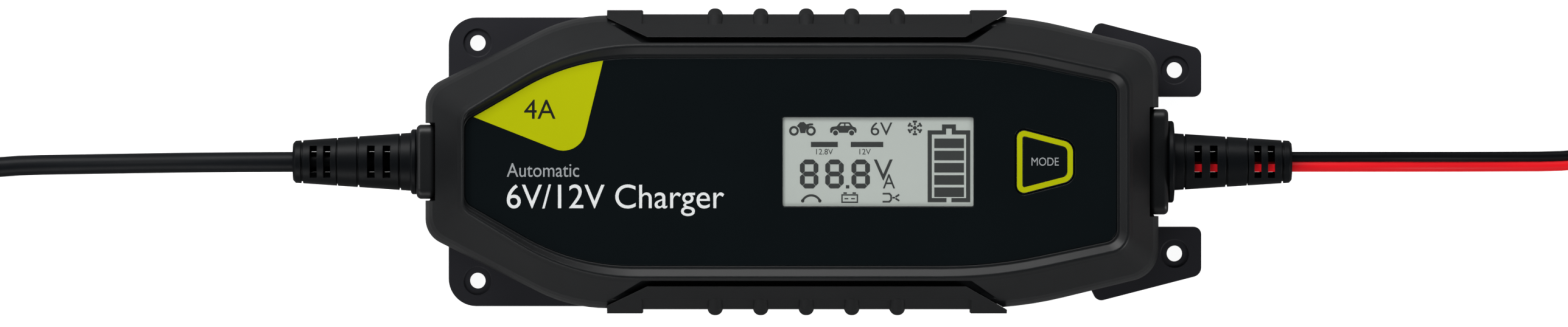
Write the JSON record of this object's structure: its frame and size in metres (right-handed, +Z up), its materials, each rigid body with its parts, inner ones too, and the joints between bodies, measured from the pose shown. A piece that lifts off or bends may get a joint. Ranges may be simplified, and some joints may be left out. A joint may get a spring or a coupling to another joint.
{
  "type": "car battery charger",
  "caption": "Sealed car battery charger with a sloping black case, display, mode key, side grips, mounting ears, mains cord with plug and battery lead with connector.",
  "frame": {"origin": "centre of the underside: on the floor under the middle of the charger without its cords", "axes": "+X along the case towards the battery lead, +Z up out of the display, +Y across the case"},
  "size_m": [0.772, 0.1129, 0.044],
  "materials": {
    "case_plastic": "satin moulded black",
    "base_plastic": "fine matt texture",
    "seal_rubber": "matt",
    "grip_rubber": "satin soft-touch",
    "panel_gloss": "smooth film",
    "lime_print": "printed",
    "lcd_lens": "clear",
    "lcd_glass": "grey-green cell",
    "white_plastic": "matt",
    "component_plastic": "moulded",
    "gland_plastic": "satin",
    "boot_rubber": "satin",
    "cord_sheath": "satin sheath",
    "lead_sheath": "satin, one black core and one red core",
    "tie_strap": "hook and loop strap",
    "plug_plastic": "satin",
    "nickel_brass": "nickel plated",
    "board_laminate": "green solder mask",
    "fuse_glass": "clear",
    "ferrite": "sintered",
    "component_yellow": "moulded",
    "capacitor_sleeve": "shrink sleeve",
    "heat_sink_metal": "plain",
    "copper_winding": "enamelled copper",
    "ribbon": "grey",
    "screw_steel": "zinc plated",
    "wire_brown": "satin",
    "wire_red": "satin"
  },
  "bodies": {
    "charger": {"upper_case": "case_plastic", "lower_case": "base_plastic", "case_seal": "seal_rubber", "back_grip": "grip_rubber", "front_grip": "grip_rubber", "front_panel": "panel_gloss", "rating_badge": "lime_print", "lcd_window": "lcd_lens", "lcd_cell": "lcd_glass", "lcd_holder": "white_plastic", "lcd_diffuser": "white_plastic", "key_switch": "component_plastic", "mains_gland": "gland_plastic", "lead_gland": "gland_plastic", "mains_boot": "boot_rubber", "lead_boot": "boot_rubber", "mains_cord": "cord_sheath", "mains_cord_tail": "cord_sheath", "mains_cord_coil": "cord_sheath", "battery_lead": "lead_sheath", "battery_lead_tail": "lead_sheath", "battery_lead_coil": "lead_sheath", "mains_cord_tie": "tie_strap", "battery_lead_tie": "tie_strap", "mains_plug": "plug_plastic", "mains_plug_pins": "nickel_brass", "lead_connector": "plug_plastic", "connector_pin": "nickel_brass", "connector_sleeve": "nickel_brass", "main_board": "board_laminate", "display_board": "board_laminate", "mains_fuse": "fuse_glass", "input_choke": "ferrite", "filter_capacitor": "component_yellow", "bridge_rectifier": "component_plastic", "bulk_capacitor": "capacitor_sleeve", "heat_sink": "heat_sink_metal", "switching_transistor": "component_plastic", "output_rectifier": "component_plastic", "transformer_winding": "copper_winding", "transformer_core": "ferrite", "output_capacitors": "capacitor_sleeve", "output_relay": "component_plastic", "control_chip": "component_plastic", "ribbon_cable": "ribbon", "case_screws": "screw_steel", "board_screws": "screw_steel", "mains_inner_wires": "wire_brown", "lead_inner_wires": "wire_red"},
    "mode_key": {"mode_button": "panel_gloss", "mode_ring": "lime_print"},
    "plunger": {"switch_plunger": "component_plastic"}
  },
  "joints": [
    {"name": "mode_key_press", "type": "slide", "parent": "charger", "child": "mode_key", "axis": [0, 0, -1], "range_m": [0, 0.0005], "stiffness_N_per_m": 600},
    {"name": "plunger_press", "type": "slide", "parent": "charger", "child": "plunger", "axis": [0, 0, -1], "range_m": [0, 0.0005]}
  ],
  "couplings": [
    {"joint": "plunger_press", "follows": "mode_key_press", "ratio": 1}
  ]
}
